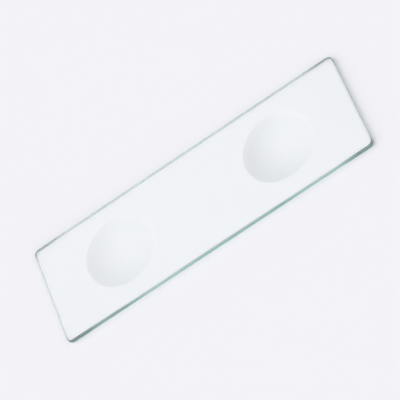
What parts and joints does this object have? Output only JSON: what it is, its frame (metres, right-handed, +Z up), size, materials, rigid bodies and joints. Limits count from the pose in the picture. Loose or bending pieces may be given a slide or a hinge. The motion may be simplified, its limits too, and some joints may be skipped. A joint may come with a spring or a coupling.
{
  "type": "microscope slide",
  "caption": "Thin clear glass microscope slide with rounded corners, bevelled edges and shallow round wells in its upper face.",
  "frame": {"origin": "middle of the flat underside, on the surface the slide lies on", "axes": "+X along the slide's length, +Y across it, +Z up out of the face that holds the wells"},
  "size_m": [0.0762, 0.0254, 0.0011],
  "materials": {
    "clear_glass": "polished faces, smooth-ground edges"
  },
  "bodies": {
    "root": {"glass_slide": "clear_glass"}
  },
  "joints": []
}
